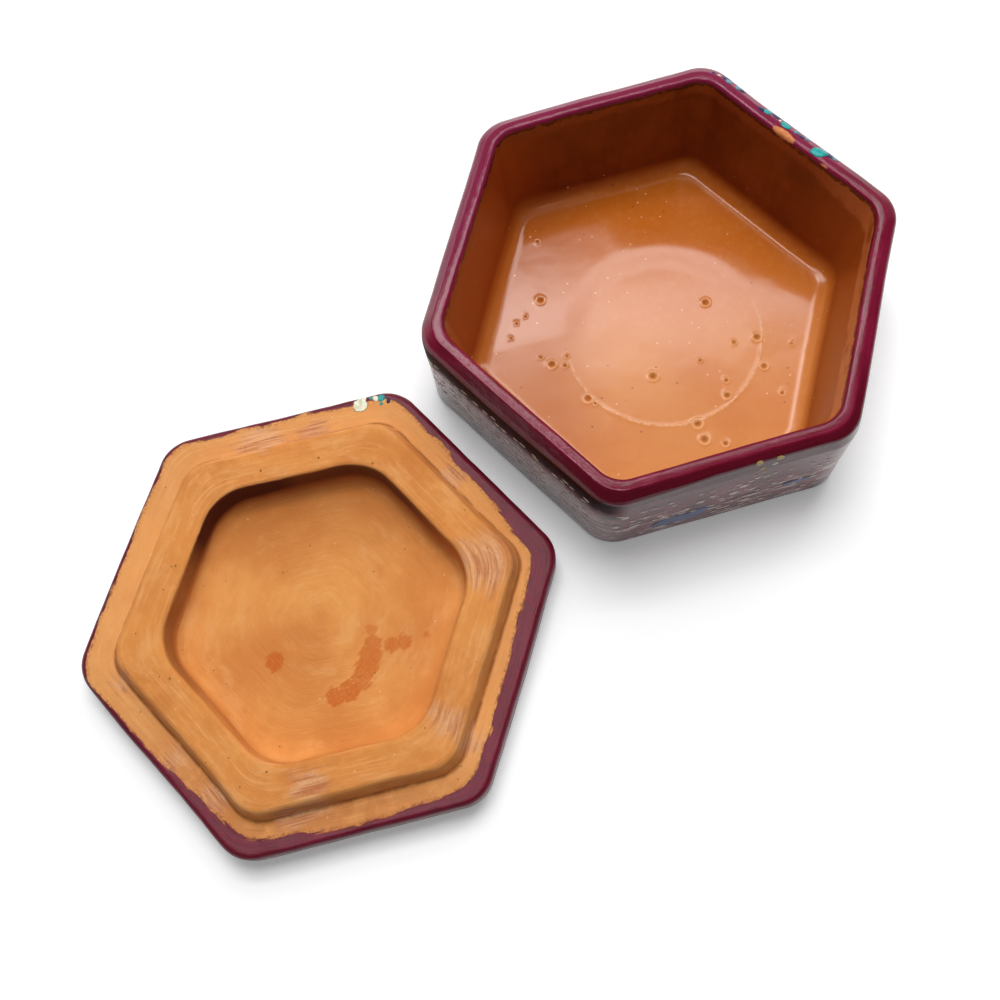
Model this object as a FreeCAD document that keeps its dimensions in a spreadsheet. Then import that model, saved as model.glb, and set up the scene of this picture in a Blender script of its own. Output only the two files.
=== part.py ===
import FreeCAD, Part
import math
import os

import Sketcher
from FreeCAD import Placement, Rotation, Vector

# Hexagonal earthenware trinket box with a loose lid.
# Millimetres, +Z up. The origin is the middle of the box's underside.
# The box stands open. Its lid lies beside it on -X, upside down, with its locating ring up.
os.makedirs("parts", exist_ok=True)
document = FreeCAD.newDocument("hexagon_box")

# Driving sizes
SIZES = {
    "hexagon_width": 90.0,
    "corner_round": 8.0,
    "box_height": 30.0,
    "floor_thickness": 4.0,
    "rim_width": 4.6,
    "shoulder_slope_width": 2.6,
    "shoulder_height": 5.0,
    "shoulder_round": 7.0,
    "crest_round": 0.8,
    "base_round": 2.0,
    "mouth_corner_round": 6.5,
    "wall_draft_angle": 8.0,
    "cavity_floor_round": 2.0,
    "mouth_edge_round": 0.8,
    "mark_radius": 20.0,
    "mark_width": 1.2,
    "mark_height": 0.3,
    "lid_thickness": 8.0,
    "lid_top_round": 3.0,
    "lid_seat_round": 1.2,
    "ring_clearance": 2.1,
    "ring_height": 4.0,
    "ring_slope_width": 1.5,
    "ring_corner_round": 7.0,
    "ring_top_width": 7.7,
    "ring_foot_round": 0.6,
    "ring_outer_round": 1.2,
    "ring_inner_round": 1.6,
    "recess_depth": 7.6,
    "recess_corner_round": 12.0,
    "recess_draft_angle": 8.0,
    "recess_floor_round": 4.0,
    "lid_gap": 6.4,
    "lid_shift": 4.4,
    "lid_turn_angle": 2.2,
}

sheet = document.addObject("Spreadsheet::Sheet", "sizes")
for row, (alias, value) in enumerate(SIZES.items(), start=1):
    sheet.set(f"A{row}", alias)
    sheet.set(f"B{row}", str(value))
    sheet.setAlias(f"B{row}", alias)
document.recompute()

# Sizes that follow from the driving ones
MOUTH = "(sizes.hexagon_width - 2 * sizes.rim_width)"
RING_FOOT = f"({MOUTH} - 2 * sizes.ring_clearance)"
RECESS_MOUTH = f"({RING_FOOT} - 2 * sizes.ring_slope_width - 2 * sizes.ring_top_width)"

SIDES = 6
TURN = 2 * math.pi / SIDES


def base_plane(body):
    """The body's own horizontal plane."""
    return next(item for item in body.Origin.OriginFeatures if item.Role == "XY_Plane")


def hexagon_sketch(body, name, height, across, corner):
    """A level hexagon with rounded corners, one flat facing +X.

    height, across and corner are expressions in the names of the sheet.
    """
    sketch = body.newObject("Sketcher::SketchObject", name)
    sketch.AttachmentSupport = [(base_plane(body), "")]
    sketch.MapMode = "FlatFace"
    sketch.setExpression("AttachmentOffset.Base.z", height)
    half = SIZES["hexagon_width"] / 2
    arc_radius = SIZES["corner_round"]
    corner_reach = (half - arc_radius) / math.cos(TURN / 2)
    half_side = (half - arc_radius) * math.tan(TURN / 2)
    for side in range(SIDES):
        normal = Vector(math.cos(side * TURN), math.sin(side * TURN), 0)
        along = Vector(-normal.y, normal.x, 0)
        side_middle = normal * half
        side_reach = along * half_side
        sketch.addGeometry(Part.LineSegment(side_middle - side_reach, side_middle + side_reach))
    for side in range(SIDES):
        middle = (side + 1 / 2) * TURN
        centre = Vector(math.cos(middle), math.sin(middle), 0) * corner_reach
        circle = Part.Circle(centre, Vector(0, 0, 1), arc_radius)
        sketch.addGeometry(Part.ArcOfCircle(circle, side * TURN, (side + 1) * TURN))
    for side in range(SIDES):
        arc = SIDES + side
        following = (side + 1) % SIDES
        sketch.addConstraint(Sketcher.Constraint("Tangent", side, 2, arc, 1))
        sketch.addConstraint(Sketcher.Constraint("Tangent", arc, 2, following, 1))
        direction = math.remainder(side * TURN + math.pi / 2, 2 * math.pi)
        sketch.addConstraint(Sketcher.Constraint("Angle", side, direction))
        reach = sketch.addConstraint(Sketcher.Constraint("Distance", -1, 1, side, half))
        sketch.setExpression(f"Constraints[{reach}]", f"{across} / 2")
        radius = sketch.addConstraint(Sketcher.Constraint("Radius", arc, arc_radius))
        sketch.setExpression(f"Constraints[{radius}]", corner)
    document.recompute()
    return sketch


def raised(body, name, sketch, length, taper="0"):
    """A pad of the sketch, narrowing upward by the taper."""
    pad = body.newObject("PartDesign::Pad", name)
    pad.Profile = sketch
    pad.setExpression("Length", length)
    pad.setExpression("TaperAngle", taper)
    document.recompute()
    return pad


def sunk(body, name, sketch, depth, taper):
    """A pocket down from the sketch, narrowing toward its floor by the taper."""
    pocket = body.newObject("PartDesign::Pocket", name)
    pocket.Profile = sketch
    pocket.setExpression("Length", depth)
    pocket.setExpression("TaperAngle", taper)
    document.recompute()
    return pocket


def face_loop(feature, height, outer=True):
    """Edge names around the level face at the height: its outer loop, or its inner one."""
    shape = feature.Shape
    slack = SIZES["mark_height"] / 3
    level = [
        face
        for face in shape.Faces
        if face.BoundBox.ZLength < slack and abs(face.BoundBox.Center.z - height) < slack
    ]
    face = max(level, key=lambda item: item.BoundBox.DiagonalLength)
    wires = [wire for wire in face.Wires if wire.isSame(face.OuterWire) == outer]
    chosen = [edge for wire in wires for edge in wire.Edges]
    return edge_names(shape, chosen)


def level_edges(feature, height):
    """Names of every edge that lies level at the height."""
    slack = SIZES["mark_height"] / 3
    shape = feature.Shape
    chosen = [
        edge
        for edge in shape.Edges
        if edge.BoundBox.ZLength < slack and abs(edge.BoundBox.Center.z - height) < slack
    ]
    return edge_names(shape, chosen)


def edge_names(shape, chosen):
    """The shape's own names for the chosen edges."""
    return [
        f"Edge{index}"
        for index, edge in enumerate(shape.Edges, start=1)
        if any(edge.isSame(other) for other in chosen)
    ]


def rounded(body, name, base, edges, radius):
    """A fillet along the named edges."""
    fillet = body.newObject("PartDesign::Fillet", name)
    fillet.Base = (base, edges)
    fillet.setExpression("Radius", radius)
    document.recompute()
    return fillet


def level_of(sketch):
    """The height at which a level sketch lies."""
    return sketch.AttachmentOffset.Base.z


# Box: a straight hexagonal wall with a sloped, softened shoulder under a flat rim.
box = document.addObject("PartDesign::Body", "box")
box.Label = "box"
shoulder_level = "sizes.box_height - sizes.shoulder_height"
wall_sketch = hexagon_sketch(box, "wall_outline", "0", "sizes.hexagon_width", "sizes.corner_round")
wall = raised(box, "wall", wall_sketch, shoulder_level)
shoulder_sketch = hexagon_sketch(
    box, "shoulder_outline", shoulder_level, "sizes.hexagon_width", "sizes.corner_round"
)
shoulder_slope = "-atan(sizes.shoulder_slope_width / sizes.shoulder_height)"
shoulder = raised(box, "shoulder", shoulder_sketch, "sizes.shoulder_height", shoulder_slope)

# Its cavity narrows a little toward a flat floor.
mouth_sketch = hexagon_sketch(box, "mouth_outline", "sizes.box_height", MOUTH, "sizes.mouth_corner_round")
cavity_depth = "sizes.box_height - sizes.floor_thickness"
cavity = sunk(box, "cavity", mouth_sketch, cavity_depth, "-sizes.wall_draft_angle")

# The clay is softened by hand along every edge.
rim_level = level_of(mouth_sketch)
floor_level = rim_level - cavity.Length.Value
kink_edges = level_edges(cavity, level_of(shoulder_sketch))
soft_kink = rounded(box, "shoulder_softening", cavity, kink_edges, "sizes.shoulder_round")
crest_edges = face_loop(soft_kink, rim_level)
soft_crest = rounded(box, "crest_softening", soft_kink, crest_edges, "sizes.crest_round")
mouth_edges = face_loop(soft_crest, rim_level, outer=False)
soft_mouth = rounded(box, "mouth_softening", soft_crest, mouth_edges, "sizes.mouth_edge_round")
floor_edges = face_loop(soft_mouth, floor_level)
soft_floor = rounded(box, "floor_softening", soft_mouth, floor_edges, "sizes.cavity_floor_round")
base_edges = face_loop(soft_floor, level_of(wall_sketch))
soft_base = rounded(box, "base_softening", soft_floor, base_edges, "sizes.base_round")

# A thin raised ring on the floor, left by the turning of the clay.
mark_sketch = box.newObject("Sketcher::SketchObject", "floor_mark_outline")
mark_sketch.AttachmentSupport = [(base_plane(box), "")]
mark_sketch.MapMode = "FlatFace"
mark_sketch.setExpression("AttachmentOffset.Base.z", "sizes.floor_thickness")
for reach in ("sizes.mark_radius", "sizes.mark_radius - sizes.mark_width"):
    circle = mark_sketch.addGeometry(Part.Circle(Vector(0, 0, 0), Vector(0, 0, 1), SIZES["mark_radius"]))
    mark_sketch.addConstraint(Sketcher.Constraint("Coincident", circle, 3, -1, 1))
    radius = mark_sketch.addConstraint(Sketcher.Constraint("Radius", circle, SIZES["mark_radius"]))
    mark_sketch.setExpression(f"Constraints[{radius}]", reach)
floor_mark = raised(box, "floor_mark", mark_sketch, "sizes.mark_height")

# Lid: modelled as it lies, top down, so its seat faces up.
lid = document.addObject("PartDesign::Body", "lid")
lid.Label = "lid"
plate_sketch = hexagon_sketch(lid, "plate_outline", "0", "sizes.hexagon_width", "sizes.corner_round")
plate = raised(lid, "plate", plate_sketch, "sizes.lid_thickness")

# A sloped ring stands on the seat and drops into the box's mouth.
ring_sketch = hexagon_sketch(
    lid, "ring_outline", "sizes.lid_thickness", RING_FOOT, "sizes.ring_corner_round"
)
ring_slope = "-atan(sizes.ring_slope_width / sizes.ring_height)"
ring = raised(lid, "locating_ring", ring_sketch, "sizes.ring_height", ring_slope)

# The lid is hollowed inside the ring.
ring_top = "sizes.lid_thickness + sizes.ring_height"
recess_sketch = hexagon_sketch(lid, "recess_outline", ring_top, RECESS_MOUTH, "sizes.recess_corner_round")
recess = sunk(lid, "recess", recess_sketch, "sizes.recess_depth", "-sizes.recess_draft_angle")

seat_level = level_of(ring_sketch)
ring_level = level_of(recess_sketch)
recess_level = ring_level - recess.Length.Value
top_edges = face_loop(recess, level_of(plate_sketch))
soft_top = rounded(lid, "top_softening", recess, top_edges, "sizes.lid_top_round")
seat_edges = face_loop(soft_top, seat_level)
soft_seat = rounded(lid, "seat_softening", soft_top, seat_edges, "sizes.lid_seat_round")
foot_edges = face_loop(soft_seat, seat_level, outer=False)
soft_foot = rounded(lid, "ring_foot_softening", soft_seat, foot_edges, "sizes.ring_foot_round")
ring_edges = face_loop(soft_foot, ring_level)
soft_ring = rounded(lid, "ring_outer_softening", soft_foot, ring_edges, "sizes.ring_outer_round")
opening_edges = face_loop(soft_ring, ring_level, outer=False)
soft_opening = rounded(lid, "ring_inner_softening", soft_ring, opening_edges, "sizes.ring_inner_round")
recess_edges = face_loop(soft_opening, recess_level)
soft_recess = rounded(lid, "recess_softening", soft_opening, recess_edges, "sizes.recess_floor_round")

# The lid lies beside the box, a little along its edge and a little turned.
lid.Placement = Placement(Vector(0, 0, 0), Rotation(Vector(0, 0, 1), -1))
lid.setExpression("Placement.Base.x", "-(sizes.hexagon_width + sizes.lid_gap)")
lid.setExpression("Placement.Base.y", "sizes.lid_shift")
lid.setExpression("Placement.Rotation.Angle", "-sizes.lid_turn_angle")
document.recompute()

for item in document.Objects:
    if "Invalid" in item.State or "Error" in item.State:
        raise RuntimeError(f"{item.Label} did not build: {item.State}")

for body in (box, lid):
    if body.Shape.isNull() or not body.Shape.isValid():
        raise RuntimeError(f"{body.Label} is not a valid solid")
    body.Shape.exportStep(f"parts/{body.Label}.step")
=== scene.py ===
import bpy
import bmesh
import math
import numpy as np
from functools import reduce
from mathutils import Matrix, Vector, noise


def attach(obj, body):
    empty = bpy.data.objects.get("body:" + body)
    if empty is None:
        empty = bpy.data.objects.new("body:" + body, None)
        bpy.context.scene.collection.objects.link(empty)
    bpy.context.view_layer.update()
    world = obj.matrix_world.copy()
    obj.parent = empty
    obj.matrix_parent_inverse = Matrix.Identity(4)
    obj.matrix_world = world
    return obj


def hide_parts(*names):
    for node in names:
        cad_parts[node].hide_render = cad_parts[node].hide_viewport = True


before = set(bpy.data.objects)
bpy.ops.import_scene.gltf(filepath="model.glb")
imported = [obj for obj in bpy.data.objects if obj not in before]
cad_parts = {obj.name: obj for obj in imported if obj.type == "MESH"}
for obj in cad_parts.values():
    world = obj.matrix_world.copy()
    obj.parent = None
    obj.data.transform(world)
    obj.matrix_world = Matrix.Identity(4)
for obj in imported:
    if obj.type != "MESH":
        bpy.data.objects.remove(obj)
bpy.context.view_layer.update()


# The table that the two pieces lie on: a smooth white board. It shows white all round, to the
# camera and in the glaze, and keeps the shadows of the box and the lid.
class Wire:
    """One value or colour in a material's nodes. Sums and products of wires add Math nodes."""

    def __init__(self, tree, output=None):
        self.tree, self.output = tree, output

    def add(self, kind, settings={}, sockets={}, out=0):
        """A new node's wire. Its settings are set first, then its sockets get values or wires."""
        made = self.tree.nodes.new(kind)
        for name, value in settings.items():
            setattr(made, name, value)
        for name, value in sockets.items():
            if isinstance(value, Wire):
                self.tree.links.new(value.output, made.inputs[name])
            else:
                made.inputs[name].default_value = value
        return Wire(self.tree, made.outputs[out] if made.outputs else None)

    def math(self, operation, *values):
        return self.add("ShaderNodeMath", {"operation": operation}, dict(enumerate(values)))

    def __add__(self, other):
        return self.math("ADD", self, other)

    def __radd__(self, other):
        return self.math("ADD", other, self)

    def __sub__(self, other):
        return self.math("SUBTRACT", self, other)

    def __rsub__(self, other):
        return self.math("SUBTRACT", other, self)

    def __mul__(self, other):
        return self.math("MULTIPLY", self, other)

    def __rmul__(self, other):
        return self.math("MULTIPLY", other, self)

    def __abs__(self):
        return self.math("ABSOLUTE", self)

    def over(self, other):
        """The larger of two."""
        return self.math("MAXIMUM", self, other)

    def fade(self, start, end):
        """0 at start and 1 at end, softly between. Start may be the larger."""
        ends = {"From Min": min(start, end), "From Max": max(start, end)}
        ends.update({"To Min": float(start > end), "To Max": float(start <= end)})
        return self.add("ShaderNodeMapRange", {"interpolation_type": "SMOOTHSTEP"},
                        {"Value": self, **ends})

    def blend(self, first, second):
        """The first colour where this wire is 0, the second where it is 1."""
        return self.add("ShaderNodeMix", {"data_type": "RGBA"}, {0: self, 6: first, 7: second}, out=2)

    def axes(self):
        """The three parts of a place or a direction."""
        return [self.add("ShaderNodeSeparateXYZ", {}, {"Vector": self}, out=axis) for axis in "XYZ"]


def fresh_nodes(owner):
    """Clears the nodes of a material or a room, and gives a wire to start new ones from."""
    owner.use_nodes = True
    owner.node_tree.nodes.clear()
    return Wire(owner.node_tree)


def by_mirror(nodes):
    """1 for rays that come from a glossy or clear surface, and 0 for all others."""
    glossy, clear = (nodes.add("ShaderNodeLightPath", out=ray)
                     for ray in ("Is Glossy Ray", "Is Transmission Ray"))
    return glossy.over(clear)


bpy.ops.object.select_all(action="DESELECT")
bpy.ops.mesh.primitive_plane_add(size=8, location=(0, 0, -0.0001))
table = bpy.context.object
table.name = "table_top"

white = (1, 1, 1, 1)
between_pieces = (-0.05, 0.0, 0.0)
fade_starts, all_white = 0.13, 0.40  # metres from there
shadow_veil = 0.22  # a little white over the shadows
white_board = bpy.data.materials.new("white_board")
nodes = fresh_nodes(white_board)
from_pieces = nodes.add("ShaderNodeVectorMath", {"operation": "DISTANCE"},
                        {0: nodes.add("ShaderNodeTexCoord", out="Object"), 1: between_pieces}, out="Value")
seen = nodes.add("ShaderNodeLightPath", out="Is Camera Ray").over(by_mirror(nodes))
board = nodes.add("ShaderNodeBsdfDiffuse", {}, {"Color": (0.90, 0.905, 0.91, 1)})
veil = nodes.add("ShaderNodeEmission", {}, {"Color": white, "Strength": seen * shadow_veil})
backdrop = nodes.add("ShaderNodeEmission", {}, {"Color": white, "Strength": 1.0})
nodes.add("ShaderNodeOutputMaterial", {}, {"Surface": nodes.add("ShaderNodeMixShader", {}, {
    0: seen * from_pieces.fade(fade_starts, all_white),
    1: nodes.add("ShaderNodeAddShader", {}, {0: board, 1: veil}), 2: backdrop})})
table.data.materials.append(white_board)


# The light: a broad window, a narrow strip of ceiling and a high lamp, all on the far side of a
# dim plain room. The glaze mirrors the strip, the ceiling above it, the lit wall under the
# window and a thin skylight. The backdrop is white to the camera and in low reflections.
lamp_aim, lamp_away = Vector((-0.03, 0, 0)), 0.9


def soft_lamp(name, heading, height, width, length, watts, mirrored):
    """An area lamp at a compass heading (degrees from +X) and height (degrees), facing the box."""
    lamp = bpy.data.objects.new(name, bpy.data.lights.new(name, "AREA"))
    bpy.context.scene.collection.objects.link(lamp)
    lamp.data.shape, lamp.data.size, lamp.data.size_y = "RECTANGLE", width, length
    lamp.data.energy = watts
    turn, lift = math.radians(heading), math.radians(height)
    toward_lamp = Vector((math.cos(lift) * math.cos(turn), math.cos(lift) * math.sin(turn), math.sin(lift)))
    lamp.location = lamp_aim + toward_lamp * lamp_away
    lamp.rotation_euler = toward_lamp.to_track_quat("Z", "Y").to_euler()
    lamp.visible_camera = False
    lamp.visible_glossy = mirrored


soft_lamp("far_window", heading=40, height=46, width=1.0, length=0.24, watts=2.1, mirrored=False)
soft_lamp("ceiling_strip", heading=46, height=62.1, width=0.9, length=0.095, watts=1.45, mirrored=True)
soft_lamp("high_lamp", heading=44, height=75, width=0.5, length=0.4, watts=5.3, mirrored=False)


def toward(axes, heading):
    """How far a place lies out along a compass heading, from the middle."""
    turn = math.radians(heading)
    return axes[0] * math.cos(turn) + axes[1] * math.sin(turn)


room = bpy.data.worlds.new("plain_room")
bpy.context.scene.world = room
nodes = fresh_nodes(room)
way = nodes.add("ShaderNodeTexCoord", out="Generated").axes()
rising, to_far_wall = way[2], toward(way, 40)
ceiling = rising.fade(0.880, 0.900) * rising.fade(0.965, 0.895) * to_far_wall.fade(0.12, 0.26)
ceiling_light = 0.9 + 7.0 * (way[1] - way[0]).fade(-0.25, 0.30)
far_wall = rising.fade(0.15, 0.30) * rising.fade(0.74, 0.62) * to_far_wall.fade(0.35, 0.6)
skylight = (way[0].fade(-0.17, -0.12) * way[0].fade(0.03, -0.02)
            * way[1].fade(-0.26, -0.20) * way[1].fade(0.34, 0.28) * rising.fade(0.80, 0.90))
mirrored = by_mirror(nodes)
mirrored_light = ceiling * ceiling_light + far_wall * 0.35 + skylight * 6.5 - 0.08
dim = nodes.add("ShaderNodeBackground", {}, {
    "Color": (0.98, 0.99, 1.0, 1), "Strength": 0.155 + mirrored * mirrored_light})
backdrop = nodes.add("ShaderNodeBackground", {}, {"Color": white, "Strength": 1.0})
to_camera = nodes.add("ShaderNodeLightPath", out="Is Camera Ray")
nodes.add("ShaderNodeOutputWorld", {}, {"Surface": nodes.add("ShaderNodeMixShader", {}, {
    0: to_camera.over(mirrored * rising.fade(0.10, 0.03)), 1: dim, 2: backdrop})})
bpy.context.scene.view_settings.view_transform = "Standard"


# The camera: held above the near left side of the lid, looking steeply down toward the box. Its
# place and lens were fitted to the straight edges of both pieces.
camera = bpy.data.objects.new("camera", bpy.data.cameras.new("camera"))
bpy.context.scene.collection.objects.link(camera)
camera.data.lens = 42.93
camera.data.clip_start, camera.data.clip_end = 0.01, 20
look_down, heading, tilt = math.radians(72.41), math.radians(54.49), math.radians(-10.57)
camera.matrix_world = (Matrix.Translation((-0.0976, -0.0676, 0.2479))
                       @ Matrix.Rotation(heading - math.pi / 2, 4, "Z")
                       @ Matrix.Rotation(math.pi / 2 - look_down, 4, "X")
                       @ Matrix.Rotation(tilt, 4, "Z"))
bpy.context.scene.camera = camera


# The box: one piece of red clay, pressed in a hexagonal mould and finished by hand. Burgundy
# paint covers the outside and wraps over the rim; the inside has a glossy orange-brown glaze,
# with burst bubbles and the ring mark of the turning plate in its floor. All sizes in mm.
MM = 0.001
AROUND = 432  # points round each piece
ONE_SIDE = math.pi / 3  # the part of a full turn that each of the six sides takes
SAME = 1e-3  # lengths nearer than this are the same


def section_line(stops):
    """A piece's section from the middle of its underside, over the rim, to the middle inside.

    A stop is (half width, height, rounding, corner radius, spacing to the next stop). Gives the
    line's points as rows of half, height, corner radius and length so far, the length at each
    stop, and the bands between straight runs and roundings as (length at the end, cuts)."""
    facet = math.radians(9)  # the turn from point to point of a rounding
    points, at_stop, bands = [Vector(stops[0][:2])], [0], []
    for before, stop, after in zip(stops, stops[1:], stops[2:] + [None]):
        here = Vector(stop[:2])
        come = (here - Vector(before[:2])).normalized()
        end, arc = here, []
        if after and stop[2]:
            turn = come.angle_signed((Vector(after[:2]) - here).normalized())
            end = here - come * stop[2] * math.tan(abs(turn) / 2)
            centre = end + Vector((-come.y, come.x)) * stop[2] * (-1 if turn > 0 else 1)
            steps = max(4, round(abs(turn) / facet))
            arc = [centre + Matrix.Rotation(-turn * k / steps, 2) @ (end - centre)
                   for k in range(1, steps + 1)]
        parts = max(1, round((end - points[-1]).length / before[4]))
        points += [points[-1].lerp(end, k / parts) for k in range(1, parts + 1)]
        bands.append((len(points) - 1, parts))
        at_stop.append(len(points) - 1 + len(arc) // 2)
        points += arc
        if arc:
            bands.append((len(points) - 1, len(arc)))
    lengths = [0.0]
    for a, b in zip(points, points[1:]):
        lengths.append(lengths[-1] + (b - a).length)
    stop_lengths = [lengths[k] for k in at_stop]
    corners = np.interp(lengths, stop_lengths, [stop[3] for stop in stops])
    rows = np.array([(p.x, p.y, c, l) for p, c, l in zip(points, corners, lengths)])
    return rows, stop_lengths, [(lengths[k], parts) for k, parts in bands]


def open_to_edit(piece, kind):
    """Puts a piece in edit mode with nothing selected, to pick verts, edges or faces of it."""
    bpy.ops.object.mode_set(mode="EDIT")
    bpy.context.tool_settings.mesh_select_mode = [kind == each for each in ("verts", "edges", "faces")]
    bpy.ops.mesh.select_all(action="DESELECT")
    return bmesh.from_edit_mesh(piece.data)


def draw_up(piece, bands):
    """Extrudes a small disc's top, one loop at the end of each band of the section, and cuts the
    bands into finer loops. Each point keeps its length along the section in an attribute."""
    corner_pull = 0.5  # how far the points gather toward the six corners, where the outline bends
    edit = open_to_edit(piece, "faces")
    section = edit.verts.layers.float.new("section")
    for vert in edit.verts:
        angle = math.atan2(vert.co.y, vert.co.x)
        share = (angle + ONE_SIDE / 2) % ONE_SIDE / (ONE_SIDE / 2) - 1
        angle += ONE_SIDE / 2 * corner_pull * math.sin(math.pi * share) / math.pi
        vert[section] = bands[0][0] if vert.co.z > 0 else 0.0
        vert.co.x, vert.co.y = MM * math.cos(angle), MM * math.sin(angle)
    top = next(face for face in edit.faces if len(face.verts) > 4 and face.verts[0].co.z > 0)
    top.select = True
    bmesh.update_edit_mesh(piece.data)
    for end, _ in bands[1:]:
        bpy.ops.mesh.extrude_region_move(TRANSFORM_OT_translate={"value": (0, 0, MM)})
        edit = bmesh.from_edit_mesh(piece.data)
        section = edit.verts.layers.float["section"]
        for vert in (v for v in edit.verts if v.select):
            vert[section] = end
        bmesh.update_edit_mesh(piece.data)
    for (start, _), (end, parts) in zip([(0.0, 0)] + bands, bands):
        if parts > 1:
            edit = open_to_edit(piece, "edges")
            section = edit.verts.layers.float["section"]
            for edge in edit.edges:
                low, high = sorted(v[section] for v in edge.verts)
                edge.select = abs(low - start) < SAME and abs(high - end) < SAME
            bmesh.update_edit_mesh(piece.data)
            bpy.ops.mesh.subdivide(number_cuts=parts - 1)
    bpy.ops.object.mode_set(mode="OBJECT")


def settle(piece, rows):
    """Moves every loop to its place on the section, as a hexagon with rounded corners."""
    place, along = read_points(piece)
    angle = np.arctan2(place[:, 1], place[:, 0])
    half, height, corner = (np.interp(along, rows[:, 3], rows[:, k]) for k in range(3))
    off_side = (angle + ONE_SIDE / 2) % ONE_SIDE - ONE_SIDE / 2
    middle = (half - corner) / math.cos(ONE_SIDE / 2)
    off_corner = ONE_SIDE / 2 - abs(off_side)
    round_reach = middle * np.cos(off_corner) + np.sqrt(
        np.maximum(corner ** 2 - (middle * np.sin(off_corner)) ** 2, 0))
    straight = abs(np.tan(off_side)) * half <= (half - corner) * math.tan(ONE_SIDE / 2)
    reach = np.where(straight, half / np.cos(off_side), round_reach)
    write_points(piece, np.stack([reach * np.cos(angle), reach * np.sin(angle), height], axis=1))


def pressed_piece(name, rows, bands):
    """A closed hexagonal piece that follows a section, drawn up from a small disc."""
    bpy.ops.object.select_all(action="DESELECT")
    bpy.ops.mesh.primitive_cylinder_add(vertices=AROUND, radius=rows[0][0] * MM, depth=MM)
    piece = bpy.context.object
    piece.name = piece.data.name = name
    draw_up(piece, bands)
    settle(piece, rows)
    edit = open_to_edit(piece, "verts")
    section = edit.verts.layers.float["section"]
    for vert in edit.verts:
        vert.select = vert[section] > bands[-1][0] - SAME
    bmesh.update_edit_mesh(piece.data)
    bpy.ops.mesh.merge(type="CENTER")
    bpy.ops.mesh.select_all(action="SELECT")
    bpy.ops.mesh.normals_make_consistent(inside=False)
    bpy.ops.mesh.select_all(action="DESELECT")
    bpy.ops.object.mode_set(mode="OBJECT")
    bpy.ops.object.shade_smooth()
    return piece


def read_points(piece):
    """The mesh's points in mm, and their lengths along the section."""
    place = np.empty(len(piece.data.vertices) * 3)
    piece.data.vertices.foreach_get("co", place)
    along = np.empty(len(piece.data.vertices))
    piece.data.attributes["section"].data.foreach_get("value", along)
    return place.reshape(-1, 3) / MM, along


def write_points(piece, place):
    """Puts the mesh's points at places in mm."""
    piece.data.vertices.foreach_set("co", (place * MM).ravel())
    piece.data.update()


def round_the_six(angle, values):
    """Twelve values, at a side's middle and a corner in turn from +X on, run softly together."""
    step = np.degrees(angle) / 30 % 12
    low = np.floor(step).astype(int) % 12
    share = step - np.floor(step)
    share = share * share * (3 - 2 * share)
    values = np.array(values)
    return values[low] * (1 - share) + values[(low + 1) % 12] * share


def lean_sides(place, angle, shifts):
    """Moves each of the six sides in or out by its own shift, in mm. The sides stay straight."""
    whole_shift = 40  # mm from the middle, where a side's full shift is reached
    ways = [Vector((math.cos(ONE_SIDE * k), math.sin(ONE_SIDE * k))) for k in range(6)]
    moves = []
    for k in range(6):
        here, after = shifts[k], shifts[(k + 1) % 6]
        moves += [ways[k] * here,
                  (ways[k] * (here - after / 2) + ways[(k + 1) % 6] * (after - here / 2))
                  / math.sin(ONE_SIDE) ** 2]
    reach = np.clip(np.hypot(place[:, 0], place[:, 1]) / whole_shift, 0, 1)
    for axis in range(2):
        place[:, axis] += reach * round_the_six(angle, [move[axis] for move in moves])


def wander(place, spread, offset):
    """A small soft move for each point, much the same for points nearer than the spread."""
    return np.array([noise.noise_vector(Vector(p) / spread + Vector(offset)) for p in place])


def smooth(x, start, end):
    """0 at start and 1 at end, softly between. Start may be the larger."""
    share = np.clip((x - start) / (end - start), 0, 1)
    return share * share * (3 - 2 * share)


box_stops = [  # half width, height, rounding, corner radius, spacing
    (2.0, 0.25, 0.0, 0.3, 6.0),
    (39.0, 0.25, 6.0, 6.4, 1.0),
    (41.5, 0.0, 4.0, 7.2, 1.0),
    (45.0, 0.0, 2.0, 8.0, 1.0),
    (45.0, 25.6, 3.0, 8.0, 0.4),
    (44.4, 29.1, 1.2, 7.8, 0.3),
    (42.6, 30.0, 0.7, 7.4, 0.3),
    (40.4, 29.84, 0.8, 6.3, 0.9),
    (36.75, 4.0, 4.0, 5.6, 0.45),
    (0.35, 4.0, 0.0, 0.05, 1.0),
]
box_rows, box_at, box_bands = section_line(box_stops)
FOOT, BASE, SHOULDER, EDGE, CREST, MOUTH, WELL = box_at[2:9]
box = pressed_piece("painted_box", box_rows, box_bands)

burst_bubbles = [  # x, y and radius, in the floor's glaze
    (-12.7, 21.7, 0.8), (-20.5, 21.6, 0.4), (-17.9, 21.4, 0.4), (-24.0, 20.0, 0.4), (-22.3, 9.0, 0.8),
    (-22.7, 11.9, 0.4), (-18.6, 7.9, 0.4), (-20.5, 6.7, 0.5), (-22.7, -2.4, 0.8), (-22.5, -4.3, 0.4),
    (-9.1, -9.2, 0.9), (13.4, -19.6, 0.8), (9.0, -16.7, 0.5), (9.2, -25.3, 0.7), (1.0, -21.5, 0.5),
    (-1.5, -24.0, 0.7), (-10.8, -23.7, 0.9), (-12.5, -27.2, 0.9), (-10.1, -31.1, 0.6),
    (7.1, -32.3, 0.5), (0.7, -14.2, 0.4), (12.1, -5.7, 0.8), (17.4, -26.2, 0.4), (-2.4, 32.5, 0.5),
]
mark_middle, mark_radius = (-0.2, -4.0), 21.7

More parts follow.
